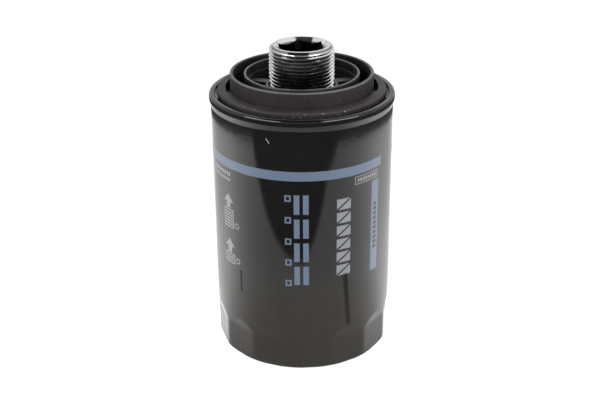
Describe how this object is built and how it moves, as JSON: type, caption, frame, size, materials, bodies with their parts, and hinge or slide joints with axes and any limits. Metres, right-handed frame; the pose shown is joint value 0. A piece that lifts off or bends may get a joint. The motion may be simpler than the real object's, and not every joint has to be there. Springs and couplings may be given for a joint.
{
  "type": "spin-on oil filter",
  "caption": "Spin-on oil filter: black fluted can with a hollow threaded stud, tall rubber sealing collar, flange gasket, pleated element, anti-drain and bypass valves.",
  "frame": {"origin": "centre of the closed end, in the plane of the ring the can stands on", "axes": "+Z along the can's axis from the closed end to the stud; -Y is the front, the side of the printed label's main column"},
  "size_m": [0.0772, 0.0772, 0.1322],
  "materials": {
    "can_paint": "gloss black stoving paint on drawn steel",
    "inner_steel": "pressed sheet steel, satin",
    "stud_plating": "bright plated steel",
    "gasket_rubber": "moulded black rubber, matt",
    "collar_rubber": "moulded black rubber, matt",
    "guide_plastic": "moulded black plastic",
    "valve_rubber": "moulded black rubber, satin",
    "cap_steel": "tinned sheet steel",
    "filter_paper": "resin-treated pleated filter paper",
    "spring_steel": "drawn spring wire"
  },
  "bodies": {
    "shell": {"outer_can": "can_paint", "seam_lid": "inner_steel", "base_plate": "inner_steel", "threaded_stud": "stud_plating", "flange_gasket": "gasket_rubber", "sealing_collar": "collar_rubber", "spoked_guide": "guide_plastic", "support_spring": "spring_steel"},
    "anti_drain": {"anti_drain_valve": "valve_rubber"},
    "element": {"upper_end_cap": "cap_steel", "lower_end_cap": "cap_steel", "pleated_media": "filter_paper", "pleat_clip": "cap_steel", "centre_tube": "cap_steel", "cap_grommet": "valve_rubber", "bypass_seat": "inner_steel", "bypass_cage": "inner_steel", "bypass_spring": "spring_steel", "spring_cup": "inner_steel"},
    "poppet": {"bypass_poppet": "inner_steel", "poppet_seal": "valve_rubber"}
  },
  "joints": [
    {"name": "anti_drain_lift", "type": "slide", "parent": "shell", "child": "anti_drain", "axis": [0, 0, -1], "range_m": [0, 0.0015], "stiffness_N_per_m": 400, "springref_m": -0.001},
    {"name": "element_float", "type": "slide", "parent": "shell", "child": "element", "axis": [0, 0, -1], "range_m": [0, 0.002], "stiffness_N_per_m": 3000, "springref_m": -0.008, "deforming": ["support_spring"]},
    {"name": "bypass_lift", "type": "slide", "parent": "element", "child": "poppet", "axis": [0, 0, 1], "range_m": [0, 0.004], "stiffness_N_per_m": 4000, "springref_m": -0.013, "deforming": ["bypass_spring"]}
  ]
}
